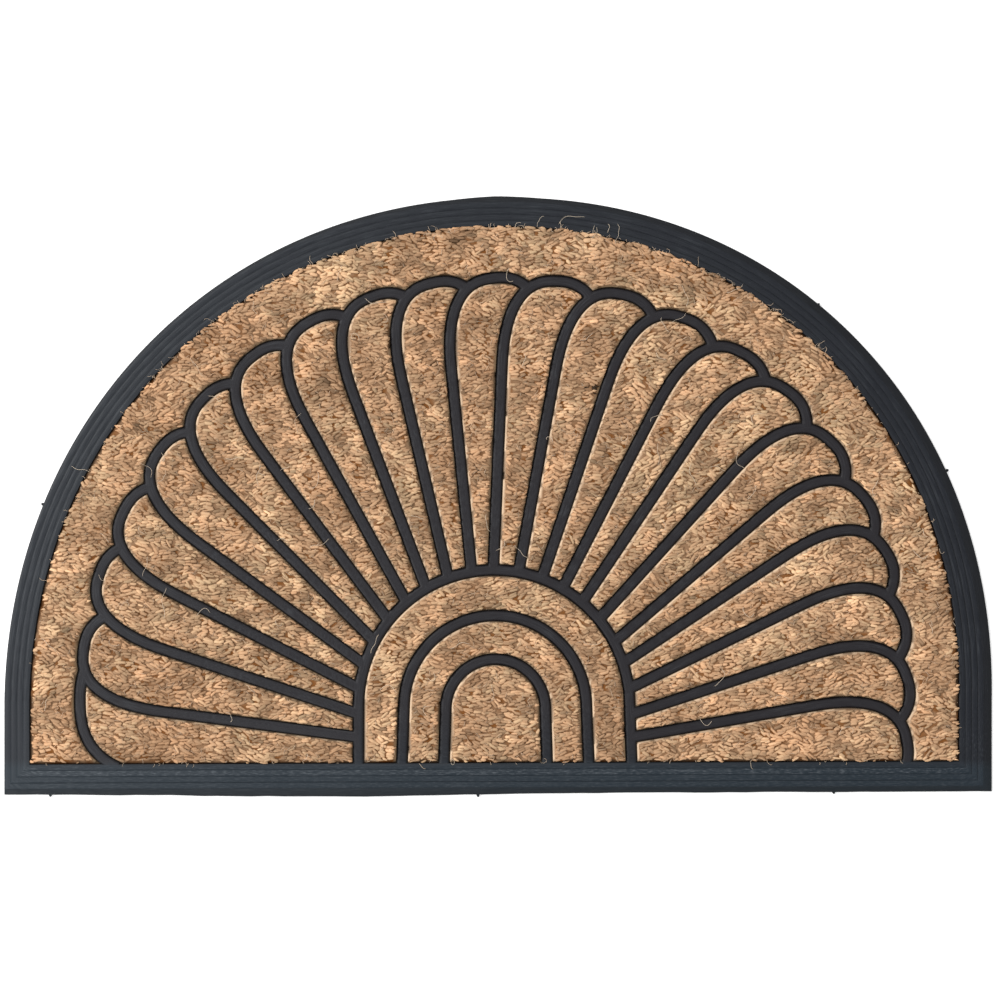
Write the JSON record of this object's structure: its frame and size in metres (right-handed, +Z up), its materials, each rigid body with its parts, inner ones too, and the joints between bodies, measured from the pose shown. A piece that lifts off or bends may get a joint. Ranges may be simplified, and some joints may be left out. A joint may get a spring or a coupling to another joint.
{
  "type": "half-round coir doormat",
  "caption": "Half-round doormat: coir matting in a black rubber moulding with a ridged border, nested arches and a fan of curled ribs.",
  "frame": {"origin": "middle of the bounding box on the underside, which rests on the floor", "axes": "+Z up out of the walking surface, +X along the straight edge, +Y from the straight edge towards the arc"},
  "size_m": [0.75, 0.4548, 0.009],
  "materials": {
    "rubber": "matte moulded black rubber with a faint grey bloom",
    "coir": "coarse woven coconut fibre, undyed golden brown"
  },
  "bodies": {
    "root": {"rubber_moulding": "rubber", "coir_matting": "coir"}
  },
  "joints": []
}
